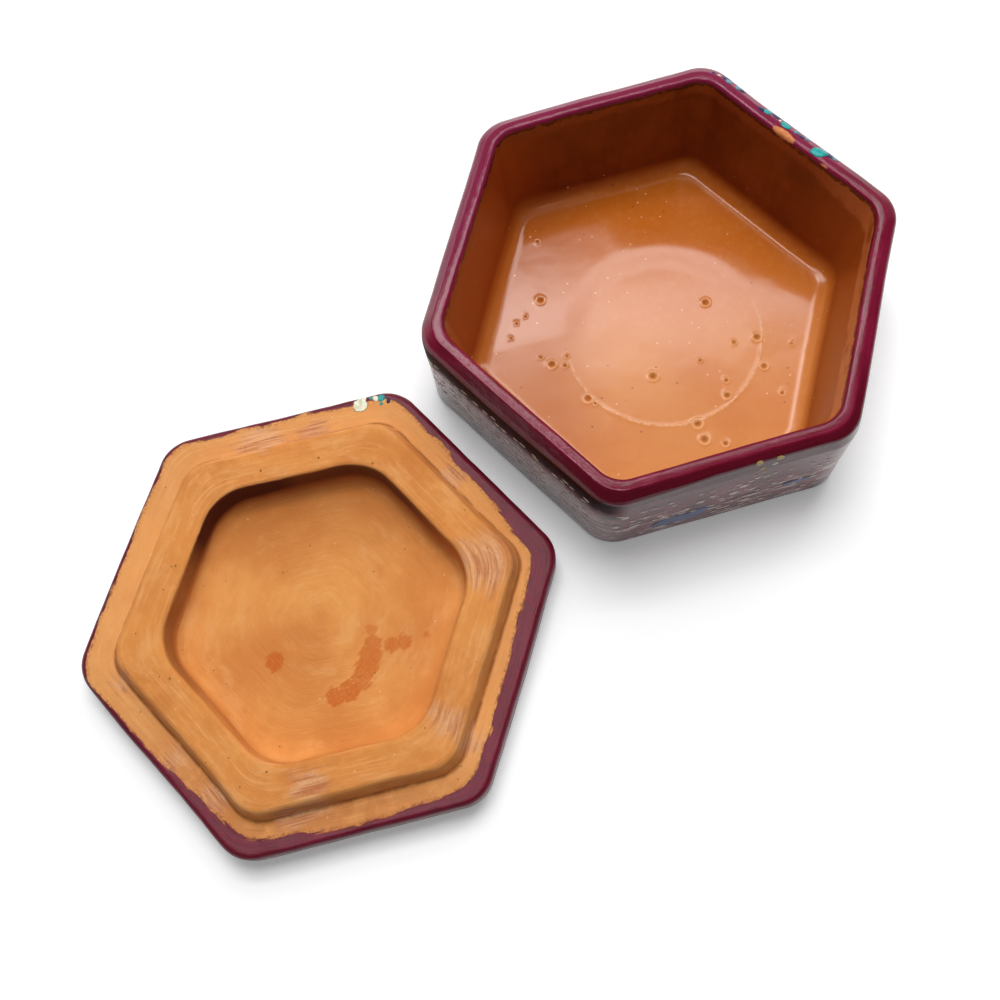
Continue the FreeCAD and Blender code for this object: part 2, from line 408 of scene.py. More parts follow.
edit = open_to_edit(box, "faces")
for face in edit.faces:
    middle = face.calc_center_median() / MM
    if 3.8 < middle.z < 4.2:
        face.select = any(math.hypot(middle.x - x, middle.y - y) < 1.9 * r + 0.3
                          for x, y, r in burst_bubbles)
bmesh.update_edit_mesh(box.data)
bpy.ops.mesh.subdivide(number_cuts=2)
bpy.ops.mesh.select_all(action="DESELECT")
bpy.ops.object.mode_set(mode="OBJECT")

place, along = read_points(box)
angle = np.arctan2(place[:, 1], place[:, 0])
on_floor = (along > WELL + 1.0).astype(float)
past_shoulder = along > SHOULDER - 4
lean_sides(place, angle, [-0.12, -0.47, -0.84, -0.41, 1.01, 0.55])
noise.seed_set(2)  # so that the hand's small unevenness is the same in every run
hand, ripple = wander(place, 26, (0, 0, 0)), wander(place, 6, (7, 3, 1))
loose, lifted = 1 - 0.8 * on_floor, smooth(place[:, 2], 0.5, 3)
place[:, :2] += loose[:, None] * (hand[:, :2] * 0.30 + ripple[:, :2] * 0.05)
place[:, 2] += lifted * loose * (hand[:, 2] * 0.25 + ripple[:, 2] * 0.05 - 0.05)
# the rim's flat top leans outward, most on the far sides
rim_lean = [0.34, 0.36, 0.32, 0.30, 0.26, 0.18, 0.12, 0.14, 0.15, 0.18, 0.26, 0.30]
leaning = round_the_six(angle, rim_lean)
place[:, 2] -= leaning * smooth(along, MOUTH, CREST - 0.2) ** 3 * lifted * past_shoulder
place[:, 2] -= leaning * lifted * ~past_shoulder * smooth(place[:, 2], 8, 24)
# the shoulder hangs lower and squarer on the near left side
shoulder_hang = [0.2, 0.2, 0.2, 0.3, 0.4, 0.7, 1.0, 0.6, 0.0, 0.0, 0.0, 0.1]
square = np.interp(along, [SHOULDER, EDGE, CREST], [0, 1, 0]) * round_the_six(angle, shoulder_hang)
place[:, 2] -= 1.7 * square
place[:, :2] *= (1 + 0.45 * square / 45)[:, None]
# the ring mark is a low step in the floor, and a fine raised line on its low left
off_mark = place[:, :2] - mark_middle
from_mark = np.hypot(off_mark[:, 0], off_mark[:, 1])
low_left = np.clip(0.35 - (off_mark[:, 0] * 0.5 + off_mark[:, 1] * 0.86) / 18, 0, 1)
place[:, 2] += on_floor * 0.20 * (1 - low_left) * smooth(from_mark, mark_radius - 6.0, mark_radius + 1.5)
place[:, 2] += on_floor * 0.05 * low_left * np.exp(-((from_mark - mark_radius) / 0.32) ** 2)
# beyond the mark the floor falls a little toward the far right
far_right = smooth(np.cos(angle - math.radians(15)), 0.62, 0.92)
place[:, 2] -= on_floor * 0.45 * far_right * smooth(from_mark, mark_radius - 1, mark_radius + 13)
for x, y, r in burst_bubbles:
    away = np.hypot(place[:, 0] - x, place[:, 1] - y)
    place[:, 2] += on_floor * (0.10 * np.exp(-((away - 1.25 * r) / (0.35 * r)) ** 2)
                               - 0.55 * r * np.exp(-(away / (0.75 * r)) ** 2))
write_points(box, place)


def paint(red, green, blue):
    """A colour as the eye reads it, 0 to 255, turned into the light values of a material."""
    return tuple(((c / 255 + 0.055) / 1.055) ** 2.4 if c > 10 else c / 3294.6
                 for c in (red, green, blue)) + (1.0,)


def in_mm(place):
    """A place in mm, its three axes, and the length along the piece's section there."""
    position = place.add("ShaderNodeVectorMath", {"operation": "SCALE"}, {0: place, "Scale": 1 / MM})
    along = place.add("ShaderNodeAttribute", {"attribute_name": "section"}, out="Fac")
    return position, position.axes(), along


def joined(parts):
    """A place or direction from its three parts, each a number or a wire."""
    start = next(part for part in parts if isinstance(part, Wire))
    return start.add("ShaderNodeCombineXYZ", {}, dict(zip("XYZ", parts)))


def blotches(position, scale, detail, rough, seed):
    """Soft blotches, scale per mm, about 0.5 on average."""
    return position.add("ShaderNodeTexNoise", {"noise_dimensions": "4D"}, {
        "Vector": position, "W": seed, "Scale": scale, "Detail": detail, "Roughness": rough})


def drawn_out(axes, along, level, up, detail=4.0, rough=0.6):
    """Streaks left by a brush or a run of glaze: how often they change level and up, per mm."""
    return along.add("ShaderNodeTexNoise", {}, {
        "Vector": joined([axes[0] * level, axes[1] * level, along * up]),
        "Scale": 1.0, "Detail": detail, "Roughness": rough})


def scattered(position, scale):
    """Small round marks, scale per mm: the distance to the nearest, and a number of its own."""
    strewn = {"Vector": position, "Scale": scale, "Randomness": 1.0}
    own_colour = position.add("ShaderNodeTexVoronoi", {}, strewn, out="Color")
    return (position.add("ShaderNodeTexVoronoi", {}, strewn),
            position.add("ShaderNodeSeparateColor", {}, {"Color": own_colour}))


def distance_to(position, *point):
    return position.add("ShaderNodeVectorMath", {"operation": "DISTANCE"},
                        {0: position, 1: point}, out="Value")


def any_of(masks):
    """One mask from many, the strongest at each place."""
    return reduce(Wire.over, masks)


def burgundy_coat(position, streaks):
    """The burgundy paint: thin brushed coats, a little darker and lighter along the brush."""
    clouds = position.add("ShaderNodeTexNoise", {}, {"Vector": position, "Scale": 0.12, "Detail": 3.0})
    colour = streaks.fade(0.35, 0.7).blend(paint(106, 5, 34), paint(126, 12, 50))
    return (clouds.fade(0.45, 0.75) * 0.5).blend(colour, paint(142, 24, 62)), clouds


def clay_surface(nodes, colour, rough, relief):
    """The clay's outer skin, whatever is on it. Relief is in mm."""
    bump = nodes.add("ShaderNodeBump", {}, {"Strength": 1.0, "Distance": MM, "Height": relief})
    return nodes.add("ShaderNodeBsdfPrincipled", {}, {
        "Base Color": colour, "Roughness": rough, "Normal": bump, "IOR": 1.5})


painted_clay = bpy.data.materials.new("painted_and_glazed_clay")
nodes = fresh_nodes(painted_clay)
position, axes, along = in_mm(nodes.add("ShaderNodeTexCoord", out="Object"))
height, to_far = axes[2], toward(axes, 40)
streaks = drawn_out(axes, along, 0.10, 1.7)
burgundy, clouds = burgundy_coat(position, streaks)
coarse = blotches(position, 0.35, 3.0, 0.6, 0.0)
fine = blotches(position, 1.6, 4.0, 0.6, 2.0)
ragged = (coarse - 0.5) * 2.6 + (fine - 0.5) * 1.3

# the glaze: painted paler on the near part of the floor as a painted reflection of the window, and run down
# the walls, which are painted dark as shade
floor_clouds = blotches(position, 0.055, 4.0, 0.55, 5.0)
floor_grain = blotches(position, 0.6, 5.0, 0.65, 8.0)
near = (to_far + (floor_clouds - 0.5) * 14).fade(24, -20)
floor_glaze = near.blend(paint(192, 100, 26), paint(210, 132, 66))
floor_glaze = (floor_clouds.fade(0.42, 0.68) * 0.6).blend(floor_glaze, paint(198, 110, 40))
floor_glaze = (floor_grain.fade(0.45, 0.8) * 0.25).blend(floor_glaze, paint(224, 150, 84))
# painted shade: the floor is painted darker toward the far left walls, which shade it and show dark in its
# gloss
floor_glaze = ((axes[1] - axes[0]).fade(8, 36) * 0.6).blend(floor_glaze, paint(168, 84, 26))
runs = drawn_out(axes, along, 0.5, 0.09)
right_wall, left_wall = toward(axes, 300).fade(24, 38), toward(axes, 120).fade(26, 38)
# painted light and shade: the far walls get a dark glaze colour, as shade, and the right and left walls a
# lighter one, as if lit by the lamps
wall_glaze = (clouds.fade(0.3, 0.7) * 0.7 + runs.fade(0.3, 0.7) * 0.3).blend(
    paint(112, 38, 10), paint(138, 56, 20))
wall_glaze = (right_wall * 0.8).blend(wall_glaze, paint(170, 84, 30))
wall_glaze = (left_wall * 0.8).blend(wall_glaze, paint(176, 80, 30))
up_wall = height.fade(4.2, 7.5)
glaze = up_wall.blend(floor_glaze, wall_glaze)
lip = (along - MOUTH + ragged * 1.0 - right_wall * 3.0).fade(4.3, 2.6) * clouds.fade(0.30, 0.46)
# painted light: the lip band is painted lighter on the right wall
glaze = (lip * 0.85).blend(glaze, right_wall.blend(paint(156, 72, 34), paint(204, 122, 72)))
speck, own = scattered(position, 0.42)
pale_speck = speck.fade(0.12, 0.07) * own.fade(0.62, 0.66)
glaze = (pale_speck * 0.75 * height.fade(12, 6)).blend(glaze, paint(240, 196, 150))
pore, own = scattered(position, 0.30)
dark_pore = pore.fade(0.09, 0.05) * own.fade(0.66, 0.7)
glaze = (dark_pore * 0.7).blend(glaze, paint(96, 44, 18))

# each burst bubble has a dark hollow and a pale ring round it
flat_place = joined([axes[0], axes[1], 0.0])
low = height.fade(5.5, 4.8)
bubbles = [(distance_to(flat_place, x, y, 0.0), r) for x, y, r in burst_bubbles]
hollow = any_of(away.fade(0.7 * r, 0.25 * r) for away, r in bubbles)
halo = any_of(abs(away - 1.2 * r).fade(0.4 * r, 0.1 * r) for away, r in bubbles)
glaze = (halo * low * 0.45).blend(glaze, paint(238, 190, 142))
glaze = (hollow * low * 0.6).blend(glaze, paint(128, 62, 28))
off_ring = distance_to(flat_place, *mark_middle, 0.0) - mark_radius
# painted highlight: the ring mark's line is painted pale on its low left, where the fine raised line
# catches the light
mark_highlight = abs(off_ring + (coarse - 0.5) * 0.9).fade(0.36, 0.08) * low * toward(axes, 60).fade(2, -12)
glaze = (mark_highlight * 0.55 * fine.fade(0.35, 0.6)).blend(glaze, paint(240, 190, 146))

# the paint ends in a ragged dark edge inside the rim, is chipped in a few places along its
# crest, and stops short of the foot
painted_in = MOUTH + 0.8 - along + ragged * 0.9
painted = painted_in.fade(-0.1, 0.1)
edge_line = abs(painted_in + 0.2).fade(0.6, 0.2) * coarse.fade(0.32, 0.5)
bare_below = (along - FOOT - 1.0 + ragged).fade(0.15, -0.15)
CHIP_STRETCH = 0.36  # the chips are drawn out along the rim's far right side
along_rim = joined([axes[0], axes[1] * CHIP_STRETCH, height])
chips = any_of(
    (distance_to(along_rim, x, y * CHIP_STRETCH, z) + (fine - 0.5) * 0.9).fade(r + 0.08, r - 0.12)
    for x, y, z, r in [(40.5, 1.6, 29.8, 1.05), (40.3, -9.4, 29.7, 0.35), (39.0, 20.5, 29.6, 0.6),
                       (-7.0, -41.2, 29.8, 0.5)])
clay_here = chips.over(bare_below)
colour = painted.blend(glaze, burgundy)
colour = (edge_line * 0.85).blend(colour, paint(64, 5, 10))

# the walls have thin dark streaks, and pale ones that run round the foot, both strongest on the two near
# walls: partly brush streaks, partly a painted reflection of the white table and the breaks in it
brushed = drawn_out(axes, along, 0.16, 0.62, 3.0, 0.62)
on_wall_paint = (along - SHOULDER).fade(0.5, -0.5)
near_wall, near_left = to_far.fade(8, -20), axes[0].fade(-40.0, -43.6)
low_wall_streaks_and_sheen = height.fade(22, 10) * on_wall_paint * clouds.fade(0.34, 0.52) * (0.15 + near_wall * 0.85)
colour = (low_wall_streaks_and_sheen * brushed.fade(0.54, 0.60) * 0.85).blend(colour, paint(206, 184, 178))
dark_streaks = on_wall_paint * brushed.fade(0.45, 0.40) * (0.2 + near_wall * 0.7)
colour = dark_streaks.blend(colour, paint(24, 3, 9))
# painted reflection: the near left wall is painted pale grey low down, where the table shows in its gloss
colour = (near_left * on_wall_paint * height.fade(20, 11) * 0.45).blend(colour, paint(164, 146, 142))

# painted light and shade: the shoulder is painted redder on the far sides, toward the lamps, and darker on
# the two near ones, in shade; under its edge, most on the near left side, it is painted nearly black and
# dull for the shade and the dark lid seen in its gloss, and a dark dull line along the foot is a painted
# contact shadow
lit_far_top = toward(axes, 60).fade(2, 20) * along.fade(SHOULDER, EDGE) * painted
near_side = to_far.fade(-16, -30)
shoulder_band = along.fade(SHOULDER - 1.0, SHOULDER + 0.5) * along.fade(CREST + 0.2, CREST - 0.5)
shade_under_edge = ((along + ragged * 1.4).fade(SHOULDER - 8.5, SHOULDER - 1.5)
              * along.fade(EDGE - 0.2, EDGE - 1.2))
contact_shadow_line = height.fade(2.3, 1.7) * (along - BASE).fade(-1.0, 0.0) * on_wall_paint
colour = (lit_far_top * 0.7).blend(colour, paint(128, 20, 64))
colour = (near_side * shoulder_band * 0.75).blend(colour, paint(80, 3, 18))
colour = (shade_under_edge * (near_left * 0.9).over(near_side * 0.35)).blend(colour, paint(20, 3, 7))
colour = (contact_shadow_line * 0.9).blend(colour, paint(14, 4, 6))
colour = clay_here.blend(colour, fine.fade(0.3, 0.7).blend(paint(196, 110, 62), paint(226, 146, 92)))

rough = (0.135 + up_wall * 0.125 - painted * up_wall * 0.09 + clay_here * 0.5 + (fine - 0.5) * 0.06
         + shade_under_edge * near_left * 0.3)
paint_relief = ((brushed - 0.5) * low_wall_streaks_and_sheen * 0.5 + (streaks - 0.5) * 0.06 + (coarse - 0.5) * 0.10
                + (fine - 0.5) * 0.02 + 0.1)
glaze_relief = floor_clouds * 0.10 + (floor_grain - 0.5) * 0.004
surface = clay_surface(nodes, colour, rough, painted * paint_relief + (1 - painted) * glaze_relief)
dull = nodes.add("ShaderNodeBsdfDiffuse", {}, {"Color": colour})
dull_here = (shade_under_edge * near_left * 0.75).over(contact_shadow_line * 0.9)
nodes.add("ShaderNodeOutputMaterial", {}, {
    "Surface": nodes.add("ShaderNodeMixShader", {}, {0: dull_here, 1: surface, 2: dull})})
box.data.materials.append(painted_clay)
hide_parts("box")
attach(box, "box")


# Dabs of thick paint on the box: turquoise, navy, blue-grey, cream and yellow, each set down wet
# with the tip of a stick. Rows of them go round the walls, and a few sit on the far rim.
bpy.ops.object.select_all(action="DESELECT")
bpy.ops.mesh.primitive_uv_sphere_add(segments=10, ring_count=6, radius=1)
one_dab = bpy.context.object
one_dab.name = "one_dab"
bpy.ops.object.shade_smooth()


def lay_dabs(name, under, colour, thick, spots):
    """Copies of the one dab, each bent onto the piece under it, joined into one object.

    A spot is x, y, z and radius in mm, then how many times longer than wide, and its turn in
    degrees from level."""
    sunk = 0.05  # mm of each dab lie under the surface
    bpy.context.view_layer.update()
    bpy.ops.object.select_all(action="DESELECT")
    for number, (x, y, z, radius, longer, turn) in enumerate(spots):
        laid = one_dab.copy()
        laid.data = one_dab.data.copy()
        bpy.context.scene.collection.objects.link(laid)
        laid.select_set(True)
        bpy.context.view_layer.objects.active = laid
        _, spot, up, _ = under.closest_point_on_mesh(Vector((x, y, z)) * MM)
        level = up.cross(Vector((0, 0, 1)))
        level = level.normalized() if level.length > 0.3 else Vector((1, 0, 0))
        level = Matrix.Rotation(math.radians(turn), 3, up) @ level
        across = up.cross(level)
        for vert in laid.data.vertices:
            ball = vert.co.copy()
            stray = noise.noise(Vector((ball.x * 1.2 + number * 5.3, ball.y * 1.2, number * 1.7)))
            reach = radius * (1 + 0.35 * stray) * MM
            flat = spot + (level * ball.x * longer + across * ball.y) * reach
            _, on, out, _ = under.closest_point_on_mesh(flat)
            vert.co = on + out * ball.z * (thick if ball.z > 0 else sunk) * MM
    bpy.ops.object.join()
    dabs = bpy.context.object
    dabs.name = dabs.data.name = name
    thick_paint = bpy.data.materials.new(name + "_paint")
    nodes = fresh_nodes(thick_paint)
    blotch = blotches(nodes.add("ShaderNodeTexCoord", out="Object"), 900.0, 3.0, 0.6, 0.0)
    darker = tuple(c * 0.62 for c in colour[:3]) + (1.0,)
    nodes.add("ShaderNodeOutputMaterial", {}, {"Surface": nodes.add("ShaderNodeBsdfPrincipled", {}, {
        "Base Color": blotch.fade(0.3, 0.7).blend(darker, colour), "Roughness": 0.30 + blotch * 0.12})})
    dabs.data.materials.clear()
    dabs.data.materials.append(thick_paint)
    return dabs


NEAR_RIGHT, NEAR_LEFT, FAR_WALLS = 240, 180, (0, 60, 120, 300)  # the walls' compass headings
OFF_MIDDLE = 45.5  # just outside the walls


def on_wall(heading, along_wall, z):
    """A place on one of the box's walls: the wall's compass heading, mm along it, mm up."""
    turn = math.radians(heading)
    return (OFF_MIDDLE * math.cos(turn) - along_wall * math.sin(turn),
            OFF_MIDDLE * math.sin(turn) + along_wall * math.cos(turn), z)


dab_paints = {
    "navy": paint(38, 36, 88), "blue": paint(88, 102, 148), "sky": paint(112, 152, 172),
    "cream": paint(238, 228, 214), "yellow": paint(196, 168, 102), "turquoise": paint(36, 172, 170)}
box_spots = {name: [] for name in dab_paints}
# the far rim, from its top corner down to the right
box_spots["navy"] += [
    (43.4, 19.4, 29, 1.0, 1.3, 0), (43.5, 15.2, 29, 0.8, 1.0, 0), (42.4, 8.9, 29.4, 0.8, 1.2, 20),
    (43.5, 5.6, 29, 0.9, 1.4, 0), (43.3, 3.0, 29, 1.2, 1.2, 0), (42.9, -1.4, 29.2, 0.6, 1.5, 0),
    (43.3, -8.3, 29, 1.1, 1.3, 10), (42.7, 22.6, 29.4, 0.5, 1.0, 0)]
box_spots["sky"] += [
    (42.9, 18.6, 29.2, 0.8, 1.1, 10), (43.1, 16.2, 29.1, 0.8, 1.0, 0), (42.8, 0.1, 29.2, 0.6, 1.1, 0),
    (43.2, -2.6, 29.0, 0.6, 1.2, 0), (43.4, -9.9, 29.0, 0.6, 1.2, 0)]
box_spots["turquoise"] += [
    (42.8, 7.7, 29.3, 1.0, 1.0, 0), (42.7, 2.6, 29.3, 1.2, 1.1, 30), (42.2, -6.6, 29.6, 1.55, 1.45, 130)]
box_spots["cream"] += [(42.8, 21.2, 29.3, 0.45, 1.0, 0), (43.0, 4.4, 29.2, 0.4, 1.0, 0)]
# the near right wall: a column of dots that climbs onto the shoulder, a level scatter, a few
# long thin strokes, and a patch and a stroke of blue
for along_wall, z, radius in [
        (5.9, 28.6, 0.65), (10.1, 28.4, 0.7), (6.8, 26.2, 0.5), (7.4, 24.1, 0.5), (5.6, 23.6, 0.4),
        (9.6, 17.3, 0.45)]:
    box_spots["yellow"].append((*on_wall(NEAR_RIGHT, along_wall, z), radius, 1.3, 0))
for along_wall, z, radius in [
        (9.2, 26.6, 0.45), (6.4, 21.3, 0.5), (4.2, 18.1, 0.7), (6.4, 14.3, 0.5), (2.2, 15.2, 0.7),
        (-2.5, 17.2, 0.5), (-4.8, 15.5, 0.7), (-10.6, 18.6, 0.45), (-16.2, 15.2, 0.5), (-20.8, 19.3, 0.6),
        (-19.1, 15.2, 0.45), (14.2, 15.8, 0.4), (20.2, 17.6, 0.4), (22.0, 17.7, 0.4), (-13.2, 13.6, 0.4),
        (-7.4, 13.2, 0.4), (0.2, 12.4, 0.45), (11.2, 13.6, 0.4), (-18.0, 11.4, 0.45), (-22.6, 12.6, 0.5),
        (17.0, 11.8, 0.4), (-14.6, 20.6, 0.35)]:
    box_spots["cream"].append((*on_wall(NEAR_RIGHT, along_wall, z), radius, 1.5, 0))
for along_wall, z, radius, longer in [
        (-1.2, 8.4, 0.35, 6), (2.6, 9.6, 0.3, 7), (6.2, 10.6, 0.3, 6), (1.0, 6.8, 0.3, 6),
        (5.0, 7.9, 0.3, 6)]:
    box_spots["cream"].append((*on_wall(NEAR_RIGHT, along_wall, z), radius, longer, 0))
for along_wall, z, radius, longer, turn in [
        (16.5, 10.5, 1.0, 3.6, 0), (-9.2, 7.6, 2.7, 2.2, 2), (-4.9, 8.8, 1.9, 1.4, 6)]:
    box_spots["blue"].append((*on_wall(NEAR_RIGHT, along_wall, z), radius, longer, turn))
# the near left wall: uneven rows of thin flecks, and a few rows of them on the near right one
fleck_count, fleck_start, fleck_step = 17, -22.4, 2.75
fleck_rows = {NEAR_LEFT: (22.6, 20.8, 18.6, 16.0, 12.6, 8.6), NEAR_RIGHT: (20.6, 13.0, 10.8, 5.0)}
for heading, rows in fleck_rows.items():
    for row, z in enumerate(rows):
        for k in range(fleck_count):
            stray = noise.noise_vector(Vector((heading, row * 2.7, k * 1.9)))
            if stray.z > -0.1:
                fleck = on_wall(heading, fleck_start + fleck_step * k + 1.6 * stray.x, z + 1.6 * stray.y)
                box_spots["cream"].append((*fleck, 0.28 + 0.2 * abs(stray.z), 2.5, 0))
# the four far walls: two waves of small dots that cross, with a larger dab at every crossing
MID_WALL, WAVE_HEIGHT, LOW_ROW = 15.0, 4.4, 6.5
dot_count, dot_start, dot_step = 16, -22.5, 3.0
dots_in_turn = ["cream", "sky", "cream", "navy", "yellow"]
for heading in FAR_WALLS:
    for k in range(dot_count):
        along_wall = dot_start + dot_step * k
        wave = WAVE_HEIGHT * math.sin(math.radians(heading) + k * 0.785)
        if abs(wave) > 1.2:
            for later, z in ((0, MID_WALL + wave), (2, MID_WALL - wave)):
                dot = dots_in_turn[(k + later) % len(dots_in_turn)]
                box_spots[dot].append((*on_wall(heading, along_wall, z), 0.42 + 0.1 * (k % 3), 1.3, 0))
        else:
            box_spots["turquoise"].append((*on_wall(heading, along_wall, MID_WALL), 1.1, 1.3, 0))
        if k % 2 == 0:
            low_dot = on_wall(heading, along_wall + 1.0, LOW_ROW + 0.5 * (k % 3))
            box_spots["cream"].append((*low_dot, 0.4, 1.8, 0))
for name, spots in box_spots.items():
    thick = 0.24 if name in ("turquoise", "sky") else 0.11
    dabs = lay_dabs("box_dabs_" + name, box, dab_paints[name], thick, spots)
    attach(dabs, "box")


# The lid, lying upside down: one piece of the same clay, with a raised ring that drops into the
# box's mouth and a hollow inside the ring. Its underside is bare clay with finger marks, and the
# burgundy paint of its top wraps a little over the edge.
lid_middle, lid_turn = Vector((-96.4, 4.4, 0)), math.radians(-2.2)
LEDGE_AT, RING_AT, HOLLOW_AT = 8.0, 12.0, 4.4  # their heights, with the lid upside down
lid_stops = [  # half width, height, rounding, corner radius, spacing
    (2.0, 0.20, 0.0, 0.3, 5.0),
    (37.0, 0.14, 8.0, 6.4, 0.8),
    (41.0, 0.0, 6.0, 7.2, 0.8),
    (45.0, 0.0, 3.0, 8.0, 0.8),
    (45.0, LEDGE_AT, 1.2, 8.0, 0.55),
    (38.3, LEDGE_AT - 0.2, 0.7, 7.4, 0.45),
    (36.8, RING_AT, 1.3, 7.0, 0.5),
    (29.1, RING_AT, 1.1, 11.5, 0.4),
    (28.2, HOLLOW_AT, 2.2, 11.0, 0.5),
    (0.35, HOLLOW_AT, 0.0, 0.1, 1.0),
]
lid_rows, lid_at, lid_bands = section_line(lid_stops)
SEAT_EDGE, RING_FOOT, _, HOLLOW_EDGE, HOLLOW_FLOOR = lid_at[4:9]
lid = pressed_piece("bare_lid", lid_rows, lid_bands)
place, along = read_points(lid)
angle = np.arctan2(place[:, 1], place[:, 0])
lean_sides(place, angle, [0.17, 0.05, 0.04, -0.15, 0.3, -1.0])
hand, ripple = wander(place, 24, (20, 4, 9)), wander(place, 4, (3, 13, 5))
in_hollow = smooth(along, HOLLOW_EDGE + 4, HOLLOW_FLOOR + 3)
place[:, :2] += hand[:, :2] * 0.40 * (1 - 0.8 * in_hollow)[:, None] + ripple[:, :2] * 0.07
place[:, 2] += smooth(place[:, 2], 0.3, 3) * (hand[:, 2] * 0.35 + ripple[:, 2] * 0.07 - 0.15)
write_points(lid, place)
lid.data.transform(Matrix.Translation(lid_middle * MM) @ Matrix.Rotation(lid_turn, 4, "Z"))
# how far each point lies past the edge of the paint, which wraps onto the ledge by uneven widths
film_width = [2.2, 1.5, 0.75, 0.6, 0.65, 0.8, 1.3, 3.6, 1.4, 2.8, 3.2, 4.4]
film = lid.data.attributes.new("film", "FLOAT", "POINT")
film.data.foreach_set("value", along - SEAT_EDGE - round_the_six(angle, film_width))

bare_clay = bpy.data.materials.new("bare_ochre_clay")
nodes = fresh_nodes(bare_clay)
position, axes, along = in_mm(nodes.add("ShaderNodeMapping", {"vector_type": "TEXTURE"}, {
    "Vector": nodes.add("ShaderNodeTexCoord", out="Object"),
    "Location": tuple(lid_middle * MM), "Rotation": (0, 0, lid_turn)}))
film = nodes.add("ShaderNodeAttribute", {"attribute_name": "film"}, out="Fac")
streaks = drawn_out(axes, along, 0.10, 1.5)
burgundy, _ = burgundy_coat(position, streaks)
patches = blotches(position, 0.05, 4.0, 0.6, 1.0)
coarse = blotches(position, 0.3, 4.0, 0.6, 3.0)
fine = blotches(position, 1.5, 5.0, 0.65, 4.0)
grain = blotches(position, 6.0, 3.0, 0.6, 6.0)
ochre = patches.fade(0.32, 0.7).blend(paint(206, 128, 62), paint(228, 150, 76))
ochre = (coarse.fade(0.4, 0.75) * 0.5).blend(ochre, paint(232, 158, 88))
ochre = (streaks.fade(0.5, 0.72) * 0.45).blend(ochre, paint(240, 178, 116))

# the hollow's floor keeps faint marks of turning, and all the clay is smeared and grainy
in_hollow = along.fade(HOLLOW_EDGE + 1, HOLLOW_FLOOR)
from_centre = distance_to(position, 3.0, 2.0, HOLLOW_AT)
turning = nodes.add("ShaderNodeTexNoise", {"noise_dimensions": "2D"}, {
    "Vector": joined([from_centre * 0.55 + (patches - 0.5) * 2.0, axes[0] * 0.02, 0.0]),
    "Scale": 1.0, "Detail": 3.0, "Roughness": 0.6})
hollow_floor = patches.fade(0.35, 0.7).blend(paint(210, 132, 66), paint(230, 156, 84))
hollow_floor = (turning.fade(0.45, 0.7) * 0.04).blend(hollow_floor, paint(238, 176, 112))
ochre = in_hollow.blend(ochre, hollow_floor)
smears = blotches(joined([axes[0], axes[1], along * 2.2]), 0.10, 5.0, 0.70, 7.0)
ochre = (smears.fade(0.50, 0.66) * 0.30).blend(ochre, paint(240, 180, 118))
ochre = (smears.fade(0.50, 0.34) * 0.26).blend(ochre, paint(206, 118, 56))
ochre = (grain.fade(0.60, 0.72) * fine.fade(0.4, 0.6) * 0.35).blend(ochre, paint(246, 200, 146))
ochre = (grain.fade(0.40, 0.28) * fine.fade(0.6, 0.4) * 0.35).blend(ochre, paint(170, 92, 42))

# painted shade: the hollow's floor darkens toward its far walls, and those walls, the left one less, are
# painted dark, as they face away from the lamps
to_far = toward(axes, 50)
ochre = (to_far.fade(4, 30) * in_hollow * 0.45).blend(ochre, paint(150, 78, 28))
hollow_wall = ((along - HOLLOW_EDGE + (coarse - 0.5) * 0.6).fade(-0.1, 0.5)
               * (along - HOLLOW_FLOOR).fade(0.2, -3.4))
hollow_wall_shade = hollow_wall * (to_far.fade(6, 24) * 0.85 + toward(axes, 120).fade(12, 24) * 0.45)
ochre = hollow_wall_shade.blend(ochre, paint(84, 26, 8))

# the ledge outside the ring is paler, darker in patches on the near side, and the groove at the ring's foot
# is painted dark, as painted shade in the crease
ledge = along.fade(RING_FOOT + 0.4, RING_FOOT - 0.6)
ochre = (ledge * 0.45).blend(ochre, paint(232, 170, 108))
near_ledge = toward(axes, 40).fade(-22, -38) * ledge * coarse.fade(0.3, 0.6)
ochre = (near_ledge * 0.45).blend(ochre, paint(172, 92, 44))
groove = abs(along - RING_FOOT - 0.2 + (coarse - 0.5) * 0.5).fade(0.7, 0.15)
ochre = (groove * 0.60 * coarse.fade(0.30, 0.55)).blend(ochre, paint(124, 62, 30))

# stains of glaze on the hollow's floor: x, y, radius and strength
brushed = blotches(joined([axes[0] * 0.35, axes[1] * 1.5, 0.0]), 0.8, 4.0, 0.65, 9.0)
stains = any_of(
    (distance_to(position, x, y, HOLLOW_AT) + (brushed - 0.5) * (0.8 + 1.2 * r) + (fine - 0.5) * 0.6)
    .fade(r + 0.1, r - 0.5) * strength for x, y, r, strength in [
        (-13.7, -0.3, 2.4, 1.0), (-9.2, -14.6, 2.2, 1.0), (-6.4, -15.5, 2.5, 1.0), (-3.4, -15.6, 2.3, 0.9),
        (-1.0, -14.5, 2.7, 0.9), (1.6, -13.2, 2.6, 0.8), (3.8, -11.6, 2.0, 0.8), (5.2, -9.4, 1.4, 0.6),
        (6.4, -14.6, 1.8, 0.8), (8.6, -16.0, 1.8, 0.8), (13.0, -18.0, 0.8, 0.7)])
ochre = (stains * (0.55 + fine.fade(0.3, 0.6) * 0.3)).blend(ochre, paint(196, 94, 26))

